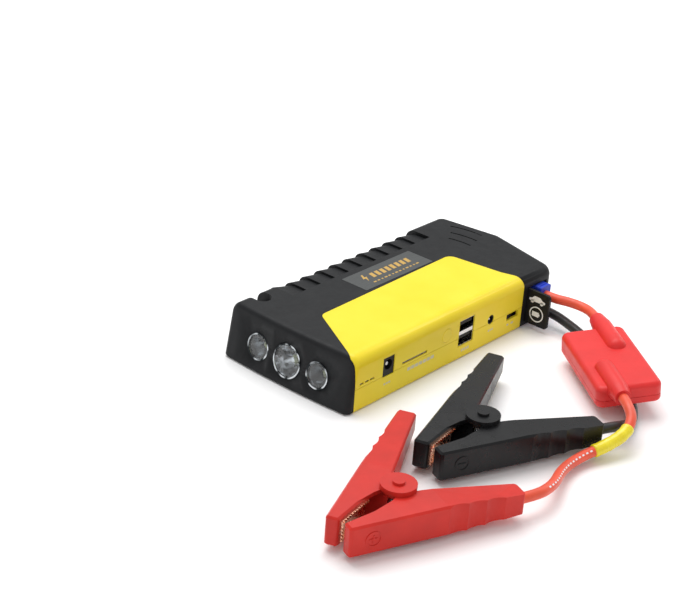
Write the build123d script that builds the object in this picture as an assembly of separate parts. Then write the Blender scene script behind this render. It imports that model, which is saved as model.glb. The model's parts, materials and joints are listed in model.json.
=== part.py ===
from build123d import *
import os
from math import atan, cos, degrees, pi, radians, sin, tan

# Jump starter pack with its clamp lead, in millimetres.
# +X runs along the case from the torch end to the jump-port end, the port side faces -Y, +Z is up.
# The origin is on the middle of the case's underside, which lies on the ground plane.

os.makedirs("parts", exist_ok=True)

# Case
FRONT_X = -95.0
FRONT_LEAN = 10.1
FRONT_R = 600.0
FRONT_RIM_R = 3.5
NEAR_Y, FAR_Y = -45.0, 45.0
END_NEAR_X, END_FAR_X = 86.0, 92.5
END_PEAK = (98.0, 2.5)
TOP_Z = 32.0
CORNER_R = 7.0
TOP_R = 6.5
BOTTOM_R = 1.5
SKIN = 1.6
WALL = 2.0
SHELL = SKIN + WALL
BASE_T = 2.6
BASE_INSET = 2.4
FIT = 0.15
PORT_CLEAR = 0.15

# Yellow side panels
PANEL_SPLIT_Z = 13.7
SPLIT_GAP = 0.25
PANEL_PLAN = [(-64.7, 1.0), (48.6, 3.2), (53.2, -31.0), (57.9, -45.5), (57.9, -60.0), (-87.8, -60.0),
              (-87.8, -40.5)]
PANEL_CORNERS = [5.0, 5.0, 9.0]

# Label plate on the top face
LABEL_BOX = (-23.9, 34.8, 4.0, 22.8)
LABEL_SINK, LABEL_T = 0.3, 0.45

# Fixings, feet and vents of the base
SCREW_AT = [(-70.0, -31.0), (-62.0, 24.0), (52.0, -24.0), (74.0, 31.0)]
SCREW_R, SCREW_HEAD_R, SCREW_L, BOSS_OUT_R = 1.25, 2.4, 12.0, 3.6
PAD_AT = [(-78.0, -24.0), (-78.0, 24.0), (66.0, -18.0), (72.0, 16.0)]
PAD_R, PAD_T = 5.5, 1.2
VENT_AT = [(-20.0, y) for y in (-9.0, -6.0, -3.0)]

# Grip teeth on the far top edge
TEETH = 10
TOOTH_PITCH = 11.9
GRIP_START_X = -59.0
GRIP_Y = 27.0
GRIP_LOW_Z = 7.0
GRIP_SHALLOW, GRIP_DEEP = 0.7, 2.0
GRIP_R = 6.0

# Lanyard slot in the front far corner
SLOT_X, SLOT_Y = -73.0, 36.0
SLOT_W = 10.0
SLOT_FLOOR_Z = 14.0
SLOT_HOLE_R = 5.0
LANYARD_BAR_R = 1.5

# Torch end: centre of each lamp along Y, its outer radius
LAMP_Z = 14.6
CENTRE_LAMP = (-1.0, 9.5)
SIDE_LAMPS = [(-22.0, 7.5), (20.3, 7.5)]
LAMP_DEPTH = 11.0
LAMP_RIM, LAMP_PROUD = 0.8, 0.2
LENS_T, LENS_INSET, LENS_BULGE = 1.6, 0.2, 0.7
LED_SHARE, LED_H = 0.3, 2.6

# Ports along the near side: centre X, centre Z
BUTTON_X, BUTTON_Z, BUTTON_R = -12.4, 19.4, 4.0
USB_X, USB_Z, USB_W, USB_H, USB_D = 5.3, 16.2, 13.2, 15.6, 17.0
DC_OUT_X, DC_OUT_Z, DC_OUT_W, DC_OUT_H = -61.5, 18.6, 9.0, 11.0
DC_IN_X, DC_IN_Z, DC_IN_R = 27.8, 15.6, 2.75
SWITCH_X, SWITCH_Z, SWITCH_L, SWITCH_H = 49.0, 11.3, 11.0, 3.6
KNOB_L = 4.2
LEVEL_X, LEVEL_Z, LEVEL_L, LEVEL_H = -39.6, 15.8, 20.6, 1.1
DASHES = [(-82.9, 2.8), (-78.6, 3.0), (-74.4, 3.3)]
DASH_H = 0.8
BOARD_Z, BOARD_T = 6.6, 1.6

# Battery
CELL_BOX = (-58.0, 50.0, -17.0, 37.0)
CELL_T, CELL_GAP, CELLS, CELL_Z0 = 6.9, 0.3, 3, 3.6

# Jump port, its flap and plug
RECESS_X0, RECESS_X1 = 61.6, 80.4
RECESS_Z0, RECESS_Z1 = 2.6, 24.4
RECESS_BACK_Y = -34.0
PLUG_X, PLUG_W = 73.8, 9.5
PLUG_Z0, PLUG_Z1 = 3.3, 23.7
PLUG_REAR_Y = -49.5
PLUG_RED_Z, PLUG_BLACK_Z = 17.9, 8.3
HINGE_X, HINGE_Y, HINGE_R, HINGE_PIN_R = 63.6, -43.2, 1.5, 0.7
FLAP_T, FLAP_REACH = 1.8, 17.0
FLAP_Z0, FLAP_Z1 = 2.9, 24.1
SOCKET_BACK_Y = -19.0
CONTACT_R = 2.5

# Leads: silicone-insulated copper
LEAD_R = 2.75
RED_REACH, BLACK_REACH = 10.0, 8.0
SLEEVE_R = 3.5
SLEEVE_FROM, SLEEVE_TO = 3, 4

# Protection module on the red lead
MODULE_AT = (37.0, -119.6, 7.7)
MODULE_YAW, MODULE_TILT = 52.2, -5.9
MODULE_L, MODULE_W, MODULE_H = 66.0, 36.0, 12.0
MODULE_SPLIT_Z = 4.6
SNOUT_Y, SNOUT_Z, SNOUT_R, SNOUT_TIP_R = 7.0, 10.4, 5.6, 4.3
FAR_TIP, NEAR_TIP = 44.0, 41.0
SNOUT_OVERLAP = 22.0
MODULE_SCREWS = [(x, y) for x in (-28.0, 28.0) for y in (-13.0, 13.0)]

# Clamps: pivot at the local origin, cable arm's outer edge along local X
RED_AT, RED_YAW, RED_SPREAD = (-147.3, -123.1, 0.0), -22.1, 44.5
BLACK_AT, BLACK_YAW, BLACK_SPREAD = (-67.5, -111.4, 0.0), -22.7, 40.5
JAW_X, THROAT_X, THROAT_Y = -36.0, -14.0, -11.5
JAW_MEET = 1.75
OUTER_Y = -23.0
HANDLE_END_Y = -13.3
RED_HANDLE, BLACK_HANDLE, LEVER_HANDLE = 55.5, 58.0, 74.0
ARM_Z0, ARM_Z1 = 2.5, 18.5
LEVER_GAP = 0.3
FLANGE = 2.2
OUTER_WALL = 2.5
DISC_R, LUG_R, LUG_CLEAR = 8.8, 7.0, 0.4
BOSS_R, BOSS_H = 3.0, 1.3
PIN_R, PIN_CLEAR = 1.9, 0.06
TAPER_X, TAPER_H = 14.0, 2.6
SCALLOP_R, SCALLOP_DEPTH, SCALLOP_PITCH = 12.0, 1.2, 9.6
TOOTH, TOOTH_LOW, TOOTH_HIGH = 1.8, 0.5, 1.5
JAW_SHEET, JAW_L = 0.9, 23.0


def save(name, *solids):
    """Write one node as STEP; several separate solids become one compound."""
    shape = solids[0] if len(solids) == 1 else Compound(children=list(solids))
    export_step(shape, f"parts/{name}.step")


def block(x0, x1, y0, y1, z0, z1):
    size = (x1 - x0, y1 - y0, z1 - z0)
    return Pos((x0 + x1) / 2, (y0 + y1) / 2, (z0 + z1) / 2) * Box(*size)


def rod(start, direction, radius, length):
    """Cylinder from start along direction."""
    return extrude(Plane(start, z_dir=direction) * Circle(radius), length)


def along_x(x0, x1, y, z, radius):
    return rod((x0, y, z), (1, 0, 0), radius, x1 - x0)


def along_y(y0, y1, x, z, radius):
    return rod((x, y0, z), (0, 1, 0), radius, y1 - y0)


def post(x, y, z0, z1, radius):
    return rod((x, y, z0), (0, 0, 1), radius, z1 - z0)


def prism(points, z0, z1):
    return Pos(0, 0, z0) * extrude(make_face(Polyline(*points, close=True)), z1 - z0)


# ---------------------------------------------------------------- case

def case_plan(inset):
    """Plan outline: straight sides and a blunt V at the far end; it overshoots the leaning front face."""
    overshoot = FRONT_X - 10
    points = [(overshoot, NEAR_Y), (END_NEAR_X, NEAR_Y), END_PEAK, (END_FAR_X, FAR_Y), (overshoot, FAR_Y)]
    face = make_face(Polyline(*points, close=True))
    face = fillet([v for v in face.vertices() if v.X > 0], CORNER_R)
    return offset(face, -inset) if inset else face


def front_form(inset):
    """Everything behind the front face, which bows outwards and leans back towards its top."""
    lean = radians(FRONT_LEAN)
    centre = (FRONT_X + FRONT_R * cos(lean), 0, -FRONT_R * sin(lean))
    return Pos(*centre) * Rot(0, FRONT_LEAN, 0) * Cylinder(FRONT_R - inset, FRONT_R)


def hull(inset, bottom=0.0):
    """The case's outer form shrunk inwards by inset, from the height bottom up."""
    solid = Pos(0, 0, bottom) * extrude(case_plan(inset), TOP_Z - inset - bottom) & front_form(inset)
    top = solid.faces().sort_by(Axis.Z)[-1]
    solid = fillet([e for e in top.edges() if e.center().X > FRONT_X / 2], TOP_R - inset)
    if inset < FRONT_RIM_R:
        front = solid.faces().sort_by(Axis.X)[0]
        solid = fillet([e for e in front.edges() if e.center().Z > bottom + 1], FRONT_RIM_R - inset)
    if not bottom:
        solid = fillet(solid.faces().sort_by(Axis.Z)[0].edges(), BOTTOM_R)
    return solid


def grip_section(x, inset):
    """Half-section of the far top edge at x, pulled in by inset."""
    edge, top = FAR_Y - inset, TOP_Z - inset
    bend = GRIP_R * (1 - cos(pi / 4))
    lines = Line((GRIP_Y, top), (GRIP_Y, GRIP_LOW_Z)) + Line((GRIP_Y, GRIP_LOW_Z), (edge, GRIP_LOW_Z))
    lines += Line((edge, GRIP_LOW_Z), (edge, top - GRIP_R))
    lines += ThreePointArc((edge, top - GRIP_R), (edge - bend, top - bend), (edge - GRIP_R, top))
    lines += Line((edge - GRIP_R, top), (GRIP_Y, top))
    return Plane((x, 0, 0), x_dir=(0, 1, 0), z_dir=(1, 0, 0)) * make_face(lines)


def toothed_hull():
    """Outer form with the shingled finger grip along the far top edge."""
    end_x = GRIP_START_X + TEETH * TOOTH_PITCH
    body = hull(0) - block(GRIP_START_X, end_x, GRIP_Y, FAR_Y + 5, GRIP_LOW_Z, TOP_Z + 5)
    for i in range(TEETH):
        x0 = GRIP_START_X + i * TOOTH_PITCH
        first = GRIP_SHALLOW if i else 0.0
        body += loft([grip_section(x0, first), grip_section(x0 + TOOTH_PITCH, GRIP_DEEP)], ruled=True)
    return body


def panel_region(grow):
    face = make_face(Polyline(*PANEL_PLAN, close=True))
    for (x, y), radius in zip(PANEL_PLAN, PANEL_CORNERS):
        corner = face.vertices().sort_by_distance((x, y, 0))[0]
        face = fillet(corner, radius)
    face = offset(face, grow) if grow else face
    return Pos(0, 0, -5) * extrude(face, TOP_Z + 10)


def lanyard_cut():
    slot = block(SLOT_X - SLOT_W / 2, SLOT_X + SLOT_W / 2, SLOT_Y, FAR_Y + 5, SLOT_FLOOR_Z, TOP_Z + 5)
    return slot + post(SLOT_X, SLOT_Y, SLOT_FLOOR_Z, TOP_Z + 5, SLOT_HOLE_R)


def lanyard_walls():
    """Solid block inside the case that the lanyard slot is sunk into."""
    half = SLOT_W / 2 + WALL
    return block(SLOT_X - half, SLOT_X + half, SLOT_Y - SLOT_HOLE_R - WALL, FAR_Y - 1,
                 SLOT_FLOOR_Z - WALL, TOP_Z - 1)


def lanyard_bar():
    return along_x(SLOT_X - SLOT_W / 2 - 1, SLOT_X + SLOT_W / 2 + 1, FAR_Y - 4.0, TOP_Z - 8.0, LANYARD_BAR_R)


def end_grooves():
    """Three shallow curved grooves on the top near the far end."""
    cuts = []
    for x, y0, y1, bow in ((82.5, 8.0, 29.0, 3.4), (75.0, 5.0, 23.0, 2.4), (67.5, 3.5, 18.5, 1.6)):
        arc = ThreePointArc((x, y1, TOP_Z), (x + bow * 0.8, (y0 + y1) / 2 + 2, TOP_Z), (x + bow, y0, TOP_Z))
        cuts.append(sweep(Plane(arc @ 0, z_dir=arc % 0) * Circle(0.7), arc))
    return cuts


def port_cuts(clear):
    """Cutters through the near wall for everything that shows there."""
    y0, y1 = NEAR_Y - 3, NEAR_Y + SHELL + 3
    cuts = [along_y(y0, y1, BUTTON_X, BUTTON_Z, BUTTON_R + clear),
            along_y(y0, y1, DC_IN_X, DC_IN_Z, DC_IN_R + clear)]
    windows = [(USB_X, USB_Z, USB_W, USB_H), (DC_OUT_X, DC_OUT_Z, DC_OUT_W, DC_OUT_H),
               (SWITCH_X, SWITCH_Z, SWITCH_L, SWITCH_H), (LEVEL_X, LEVEL_Z, LEVEL_L, LEVEL_H)]
    windows += [(x, LEVEL_Z, length, DASH_H) for x, length in DASHES]
    for x, z, w, h in windows:
        cuts.append(block(x - w / 2 - clear, x + w / 2 + clear, y0, y1, z - h / 2 - clear, z + h / 2 + clear))
    return cuts


def make_case():
    inner = hull(SHELL, bottom=BASE_T)
    body = toothed_hull()
    pocket = (hull(0) - hull(SKIN, bottom=-1)) & panel_region(FIT)
    body -= pocket
    body -= base_form(BASE_INSET)
    keep = lanyard_walls()
    for x, y in SCREW_AT:
        keep += post(x, y, BASE_T, TOP_Z - 1, BOSS_OUT_R)
    keep += block(RECESS_X0 - WALL, END_PEAK[0], NEAR_Y + 1, RECESS_BACK_Y + WALL, BASE_T, RECESS_Z1 + WALL)
    cavity = inner - keep
    body -= cavity
    body -= lanyard_cut()
    body += lanyard_bar() & hull(0)
    body -= block(RECESS_X0, RECESS_X1, NEAR_Y - 5, RECESS_BACK_Y, RECESS_Z0, RECESS_Z1)
    socket_w, socket_h = PLUG_W + 1.0, PLUG_Z1 - PLUG_Z0 + 0.8
    mid_z = (PLUG_Z0 + PLUG_Z1) / 2
    body -= block(PLUG_X - socket_w / 2, PLUG_X + socket_w / 2, RECESS_BACK_Y - 1, RECESS_BACK_Y + WALL + 1,
                  mid_z - socket_h / 2, mid_z + socket_h / 2)
    body -= post(HINGE_X, HINGE_Y, RECESS_Z0 - 1.4, RECESS_Z1 + 1.4, HINGE_PIN_R)
    for cut in port_cuts(PORT_CLEAR):
        body -= cut
    for y, radius in [CENTRE_LAMP] + SIDE_LAMPS:
        body -= lamp_place() * along_x(-5, LAMP_DEPTH, y, 0, radius + 0.1)
    for x, y in SCREW_AT:
        body -= post(x, y, BASE_T - 1, BASE_T + SCREW_L, SCREW_R)
    for cut in end_grooves():
        body -= cut
    body -= block(*LABEL_BOX[:4], TOP_Z - LABEL_SINK, TOP_Z + 1)
    return body


def base_form(inset):
    return extrude(case_plan(inset), BASE_T) & front_form(inset)


def make_base():
    plate = base_form(BASE_INSET + FIT)
    for x, y in SCREW_AT:
        plate -= post(x, y, -1, BASE_T + 1, SCREW_R + 0.2)
        plate -= post(x, y, -1, 1.4, SCREW_HEAD_R + 0.2)
    for x, y in PAD_AT:
        plate -= post(x, y, -1, PAD_T, PAD_R)
    for x, y in VENT_AT:
        plate -= block(x - 9, x + 9, y - 0.6, y + 0.6, -1, BASE_T + 1)
    return plate


def make_panels():
    skin = (hull(0) - hull(SKIN, bottom=-1)) & panel_region(0)
    for cut in port_cuts(PORT_CLEAR):
        skin -= cut
    upper = skin & block(-120, 120, -70, 30, PANEL_SPLIT_Z + SPLIT_GAP / 2, TOP_Z + 1)
    lower = skin & block(-120, 120, -70, 30, 0.0, PANEL_SPLIT_Z - SPLIT_GAP / 2)
    return upper, lower


# ---------------------------------------------------------------- torch end

def lamp_place():
    """Frame of the lamps: its origin lies on the front face at lamp height, its +X points into the case."""
    return Pos(FRONT_X + LAMP_Z * tan(radians(FRONT_LEAN)), 0, LAMP_Z) * Rot(0, FRONT_LEAN, 0)


def lamp_front(y):
    """Depth of a lamp's rim: just proud of the bowed front face."""
    return y ** 2 / (2 * FRONT_R) - LAMP_PROUD


def make_reflector(y, radius):
    front = lamp_front(y)
    cup = along_x(front, LAMP_DEPTH, y, 0, radius)
    mouth = Plane((front + LENS_T, y, 0), z_dir=(1, 0, 0)) * Circle(radius - LAMP_RIM - 0.2)
    throat = Plane((LAMP_DEPTH - 2.0, y, 0), z_dir=(1, 0, 0)) * Circle(radius * 0.36)
    cup -= loft([mouth, throat])
    cup -= along_x(front - 1, front + LENS_T, y, 0, radius - LAMP_RIM)
    cup -= along_x(LAMP_DEPTH - 3, LAMP_DEPTH + 1, y, 0, radius * LED_SHARE)
    return lamp_place() * cup


def make_lens(y, radius):
    front = lamp_front(y)
    face = front + LENS_INSET
    lens = along_x(face, front + LENS_T, y, 0, radius - LAMP_RIM)
    bulge_r = radius * 2.4
    dome = Pos(face - LENS_BULGE + bulge_r, y, 0) * Sphere(bulge_r)
    dome &= along_x(front - 2, face, y, 0, radius - LAMP_RIM)
    return lamp_place() * (lens + dome)


def make_led(y, radius):
    led_r = radius * LED_SHARE - 0.1
    body = along_x(LAMP_DEPTH - LED_H, LAMP_DEPTH, y, 0, led_r)
    tip = Pos(LAMP_DEPTH - LED_H, y, 0) * Sphere(led_r)
    front_half = block(LAMP_DEPTH - 9, LAMP_DEPTH - LED_H, y - 9, y + 9, -9, 9)
    return lamp_place() * (body + (tip & front_half))


def make_torch_board():
    board = block(LAMP_DEPTH, LAMP_DEPTH + 1.6, -29.5, 27.5, -8, 8)
    for y in (-11.9, 9.5):
        board -= along_x(LAMP_DEPTH - 1, LAMP_DEPTH + 3, y, 5.5, 1.1)
    return lamp_place() * board


# ---------------------------------------------------------------- ports

def make_button():
    cap = along_y(NEAR_Y - 0.15, NEAR_Y + SHELL - 0.4, BUTTON_X, BUTTON_Z, BUTTON_R)
    cap = fillet(cap.edges().sort_by(Axis.Y)[0], 0.35)
    return cap + along_y(NEAR_Y + SHELL - 0.4, NEAR_Y + SHELL + 0.8, BUTTON_X, BUTTON_Z, 1.5)


def make_button_board():
    y = NEAR_Y + SHELL + 4.4
    board = block(BUTTON_X - 7, BUTTON_X + 7, y, y + 1.2, BOARD_Z + BOARD_T, BUTTON_Z + 6)
    switch = block(BUTTON_X - 3, BUTTON_X + 3, y - 1.4, y, BUTTON_Z - 3, BUTTON_Z + 3)
    return board + switch + along_y(y - 1.9, y - 1.4, BUTTON_X, BUTTON_Z, 1.6)


def make_switch():
    y = NEAR_Y + SKIN
    inside_y = NEAR_Y + SHELL
    body = block(SWITCH_X - SWITCH_L / 2 - 1, SWITCH_X + SWITCH_L / 2 + 1, inside_y + 0.4, inside_y + 6,
                 BOARD_Z + BOARD_T, BOARD_Z + BOARD_T + 5.6)
    body -= block(SWITCH_X - SWITCH_L / 2 + 0.2, SWITCH_X + SWITCH_L / 2 - 0.2, NEAR_Y, inside_y + 3,
                  SWITCH_Z - 1.2, SWITCH_Z + 1.2)
    x0 = SWITCH_X - SWITCH_L / 2 + 0.4
    knob = block(x0, x0 + KNOB_L, y - 0.8, inside_y + 0.1, SWITCH_Z - 1.5, SWITCH_Z + 1.5)
    for i in range(3):
        rib_x = x0 + 0.9 + i * 1.2
        knob -= block(rib_x - 0.2, rib_x + 0.2, y - 1.0, y - 0.4, SWITCH_Z - 2, SWITCH_Z + 2)
    stem = block(x0 + 1.2, x0 + KNOB_L - 1.2, inside_y + 0.1, inside_y + 2.6, SWITCH_Z - 0.9, SWITCH_Z + 0.9)
    return body, knob + stem


def make_usb():
    """Stacked pair of type-A sockets in one bent-steel shell, with a tongue in each mouth."""
    wall = 0.4
    y0 = NEAR_Y + 0.5
    x0, x1 = USB_X - USB_W / 2, USB_X + USB_W / 2
    z0, z1 = USB_Z - USB_H / 2, USB_Z + USB_H / 2
    shell = block(x0, x1, y0, y0 + USB_D, z0, z1)
    shell -= block(x0 + wall, x1 - wall, y0 - 1, y0 + USB_D - wall, z0 + wall, USB_Z - 1.1)
    shell -= block(x0 + wall, x1 - wall, y0 - 1, y0 + USB_D - wall, USB_Z + 1.1, z1 - wall)
    shell -= block(x0 + wall, x1 - wall, y0 + 2.5, y0 + USB_D - wall, USB_Z - 1.2, USB_Z + 1.2)
    back_y = y0 + 10
    insert = block(x0 + wall, x1 - wall, back_y, y0 + USB_D - wall, z0 + wall, z1 - wall)
    for z in (z0 + 4.9, z1 - 2.3):
        insert += block(x0 + 1.0, x1 - 1.0, y0 + 0.8, back_y, z - 0.9, z + 0.9)
    return shell, insert


def make_dc_output():
    y0 = NEAR_Y + 0.4
    body = block(DC_OUT_X - DC_OUT_W / 2, DC_OUT_X + DC_OUT_W / 2, y0, y0 + 14, DC_OUT_Z - DC_OUT_H / 2,
                 DC_OUT_Z + DC_OUT_H / 2)
    body += block(DC_OUT_X - 4, DC_OUT_X + 4, y0 + 4, y0 + 13, BOARD_Z + BOARD_T, DC_OUT_Z - DC_OUT_H / 2)
    body -= along_y(y0 - 1, y0 + 9, DC_OUT_X, DC_OUT_Z + 0.9, 3.0)
    pin = along_y(y0 + 1.2, y0 + 9, DC_OUT_X, DC_OUT_Z + 0.9, 1.0)
    return body, pin


def make_dc_input():
    y0 = NEAR_Y + 0.4
    barrel = along_y(y0, y0 + SHELL + 1, DC_IN_X, DC_IN_Z, DC_IN_R)
    body = block(DC_IN_X - 4, DC_IN_X + 4, y0 + SHELL, y0 + 13, BOARD_Z + BOARD_T, DC_IN_Z + 4.2)
    body += barrel
    body -= along_y(y0 - 1, y0 + 8, DC_IN_X, DC_IN_Z, 2.1)
    pin = along_y(y0 + 0.8, y0 + 8, DC_IN_X, DC_IN_Z, 0.65)
    return body, pin


def make_light_bars():
    y0, y1 = NEAR_Y + 0.5, NEAR_Y + SHELL + 2.5
    level = block(LEVEL_X - LEVEL_L / 2, LEVEL_X + LEVEL_L / 2, y0, y1,
                  LEVEL_Z - LEVEL_H / 2, LEVEL_Z + LEVEL_H / 2)
    dashes = []
    for x, w in DASHES:
        dashes.append(block(x - w / 2, x + w / 2, y0, y1, LEVEL_Z - DASH_H / 2, LEVEL_Z + DASH_H / 2))
    return level, dashes


def make_main_board():
    board = block(-72, 57.5, NEAR_Y + SHELL + 0.6, -21, BOARD_Z, BOARD_Z + BOARD_T)
    for x, y in SCREW_AT:
        board -= post(x, y, 0, 20, BOSS_OUT_R + 0.6)
    top = BOARD_Z + BOARD_T
    chips = [(-50, -30, 7, 7, 1.6), (-30, -33, 5, 6, 1.4), (18, -33, 9, 9, 3.5), (40, -31, 6, 5, 1.6),
             (-2, -25, 5, 4, 1.4)]
    for x, y, w, d, h in chips:
        board += block(x - w / 2, x + w / 2, y - d / 2, y + d / 2, top, top + h)
    return board


# ---------------------------------------------------------------- battery

def make_cells():
    x0, x1, y0, y1 = CELL_BOX
    cells = []
    for i in range(CELLS):
        z0 = CELL_Z0 + i * (CELL_T + CELL_GAP)
        cell = block(x0, x1, y0, y1, z0, z0 + CELL_T)
        cells.append(fillet(cell.edges().filter_by(Axis.X), 1.8))
    return cells


def make_tabs():
    """Nickel tabs at the end of each cell, folded down in series."""
    x = CELL_BOX[1]
    tabs = []
    for i in range(CELLS):
        z = CELL_Z0 + i * (CELL_T + CELL_GAP) + CELL_T / 2
        for y in (-2.0, 22.0):
            tabs.append(block(x, x + 6, y - 4, y + 4, z - 0.15, z + 0.15))
    return tabs


def make_foam():
    x0, x1, y0, y1 = CELL_BOX
    z0 = CELL_Z0 + CELLS * (CELL_T + CELL_GAP) - CELL_GAP
    return block(x0 + 4, x1 - 4, y0 + 3, y1 - 3, z0, z0 + 2.6)


def make_bus_bars():
    """Copper strips from the cell stack to the back of the jump socket."""
    x = CELL_BOX[1] + 6.4
    bars = []
    for z, y in ((PLUG_RED_Z, 22.0), (PLUG_BLACK_Z, -2.0)):
        bar = block(x, x + 1.0, SOCKET_BACK_Y + 4, y + 4, z - 3, z + 3)
        bar += block(x, PLUG_X + 2.5, SOCKET_BACK_Y + 4, SOCKET_BACK_Y + 5, z - 3, z + 3)
        bars.append(bar)
    return bars


# ---------------------------------------------------------------- jump port

def make_socket():
    mid_z = (PLUG_Z0 + PLUG_Z1) / 2
    half_h = (PLUG_Z1 - PLUG_Z0) / 2 + 0.4
    body = block(PLUG_X - 5.25, PLUG_X + 5.25, RECESS_BACK_Y, SOCKET_BACK_Y, mid_z - half_h, mid_z + half_h)
    for z in (PLUG_RED_Z, PLUG_BLACK_Z):
        body -= along_y(RECESS_BACK_Y - 1, SOCKET_BACK_Y + 1, PLUG_X, z, CONTACT_R + 0.9)
    return body


def make_socket_contacts():
    """Hollow bullet sockets that the plug's pins enter."""
    contacts = []
    for z in (PLUG_RED_Z, PLUG_BLACK_Z):
        tube = along_y(RECESS_BACK_Y + 1, SOCKET_BACK_Y + 4, PLUG_X, z, CONTACT_R + 0.9)
        tube -= along_y(RECESS_BACK_Y, RECESS_BACK_Y + 12, PLUG_X, z, CONTACT_R + 0.05)
        contacts.append(tube)
    return contacts


def make_plug():
    """Blue two-pole plug: a rounded block with grip ribs, chamfered on one side so it goes in one way."""
    mid_z = (PLUG_Z0 + PLUG_Z1) / 2
    x0, x1 = PLUG_X - PLUG_W / 2, PLUG_X + PLUG_W / 2
    body = block(x0, x1, PLUG_REAR_Y, RECESS_BACK_Y - 0.1, PLUG_Z0, PLUG_Z1)
    body = fillet(body.edges().filter_by(Axis.Y), 1.6)
    for i in range(5):
        y = PLUG_REAR_Y + 1.6 + i * 1.7
        groove = block(x0 - 1, x1 + 1, y, y + 0.7, PLUG_Z0 - 1, PLUG_Z1 + 1)
        groove -= block(x0 + 0.35, x1 - 0.35, y - 1, y + 2, PLUG_Z0 + 0.35, PLUG_Z1 - 0.35)
        body -= groove
    body -= block(x0 + 3.4, x1 - 3.4, PLUG_REAR_Y - 1, PLUG_REAR_Y + 6, mid_z - 1.2, mid_z + 1.2)
    for z in (PLUG_RED_Z, PLUG_BLACK_Z):
        body -= along_y(PLUG_REAR_Y + 2, RECESS_BACK_Y, PLUG_X, z, CONTACT_R + 0.3)
    return body


def make_plug_contacts():
    y0, y1 = PLUG_REAR_Y + 2.2, RECESS_BACK_Y + 11
    return [along_y(y0, y1, PLUG_X, z, CONTACT_R) for z in (PLUG_RED_Z, PLUG_BLACK_Z)]


def make_flap():
    """Swing flap standing open, square to the case, on a vertical hinge pin."""
    x0 = HINGE_X - HINGE_R
    plate = block(x0, x0 + FLAP_T, HINGE_Y - FLAP_REACH, HINGE_Y, FLAP_Z0, FLAP_Z1)
    tip = plate.edges().filter_by(Axis.X).group_by(Axis.Y)[0]
    flap = fillet(tip, 2.0) + post(HINGE_X, HINGE_Y, FLAP_Z0, FLAP_Z1, HINGE_R)
    rib_x = x0 + FLAP_T
    for z in (FLAP_Z0 + 2, FLAP_Z1 - 3):
        flap += block(rib_x, rib_x + 0.8, HINGE_Y - FLAP_REACH + 2, HINGE_Y - 3, z, z + 1)
    return flap - post(HINGE_X, HINGE_Y, 0, TOP_Z, HINGE_PIN_R + 0.06)


def make_hinge_pin():
    return post(HINGE_X, HINGE_Y, RECESS_Z0 - 1.3, RECESS_Z1 + 1.3, HINGE_PIN_R)


def make_screw(x, y):
    """Cross-head case screw."""
    screw = post(x, y, 0.1, 1.4, SCREW_HEAD_R) + post(x, y, 1.4, BASE_T + SCREW_L - 2, SCREW_R - 0.02)
    screw -= block(x - 1.3, x + 1.3, y - 0.3, y + 0.3, 0, 0.9)
    return screw - block(x - 0.3, x + 0.3, y - 1.3, y + 1.3, 0, 0.9)


# ---------------------------------------------------------------- leads

def module_place():
    return Pos(*MODULE_AT) * Rot(0, 0, MODULE_YAW) * Rot(MODULE_TILT, 0, 0)


def on_module(x, y, z):
    """A point of the module's own frame, in the row frame."""
    spot = (module_place() * Pos(x, y, z)).position
    return (spot.X, spot.Y, spot.Z)


def corner_radii(points):
    """Radius at each inner point: 0.45 of the shorter run over the tangent of half the turn."""
    spots = [Vector(*p) for p in points]
    radii = []
    for a, b, c in zip(spots, spots[1:], spots[2:]):
        run = min((b - a).length, (c - b).length)
        turn = (b - a).get_angle(c - b)
        radii.append(0.45 * run / tan(radians(turn) / 2))
    return radii


def lead_path(points):
    return FilletPolyline(*points, radius=corner_radii(points))


def make_lead(points):
    path = lead_path(points)
    return sweep(Plane(path @ 0, z_dir=path % 0) * Circle(LEAD_R), path)


def make_sleeve(points):
    """Heat-shrink sleeve around two bends of the lead, from run middle to run middle."""
    spots = [Vector(*p) for p in points[SLEEVE_FROM - 1:SLEEVE_TO + 2]]
    ends = (spots[0] + spots[1]) / 2, (spots[-2] + spots[-1]) / 2
    radii = corner_radii(points)[SLEEVE_FROM - 1:SLEEVE_TO]
    path = FilletPolyline(ends[0], *spots[1:-1], ends[1], radius=radii)
    section = Circle(SLEEVE_R) - Circle(LEAD_R + 0.05)
    return sweep(Plane(path @ 0, z_dir=path % 0) * section, path)


def clamp_end(at, yaw, handle, reach):
    """Where a lead meets the end wall of a clamp's cable arm, and a point straight out from it."""
    place = Pos(*at) * Rot(0, 0, yaw)
    mid_y, mid_z = (OUTER_Y + HANDLE_END_Y) / 2, (ARM_Z0 + ARM_Z1) / 2
    spots = [(place * Pos(x, mid_y, mid_z)).position for x in (handle + reach, handle)]
    return [(s.X, s.Y, s.Z) for s in spots]


RED_IN_ROUTE = [
    (PLUG_X, PLUG_REAR_Y, PLUG_RED_Z), (PLUG_X, PLUG_REAR_Y - 7.0, PLUG_RED_Z), (75.2, -65.0, 18.7),
    (76.6, -74.0, 18.3), on_module(FAR_TIP + 8.5, -SNOUT_Y, SNOUT_Z), on_module(FAR_TIP, -SNOUT_Y, SNOUT_Z)]

BLACK_ROUTE = [
    (PLUG_X, PLUG_REAR_Y, PLUG_BLACK_Z), (PLUG_X, PLUG_REAR_Y - 7.5, PLUG_BLACK_Z), (73.4, -66.5, 6.4),
    (72.4, -77.5, 3.8), (67.4, -88.5, 2.85), (59.2, -100.5, 2.85), (50.2, -112.5, 2.85), (40.6, -125.0, 2.85),
    (30.8, -137.0, 2.85), (22.6, -144.6, 2.85), (13.6, -150.0, 3.1), (4.8, -153.6, 5.2), (-4.0, -155.6, 8.2),
    *clamp_end(BLACK_AT, BLACK_YAW, BLACK_HANDLE, BLACK_REACH)]

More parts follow.
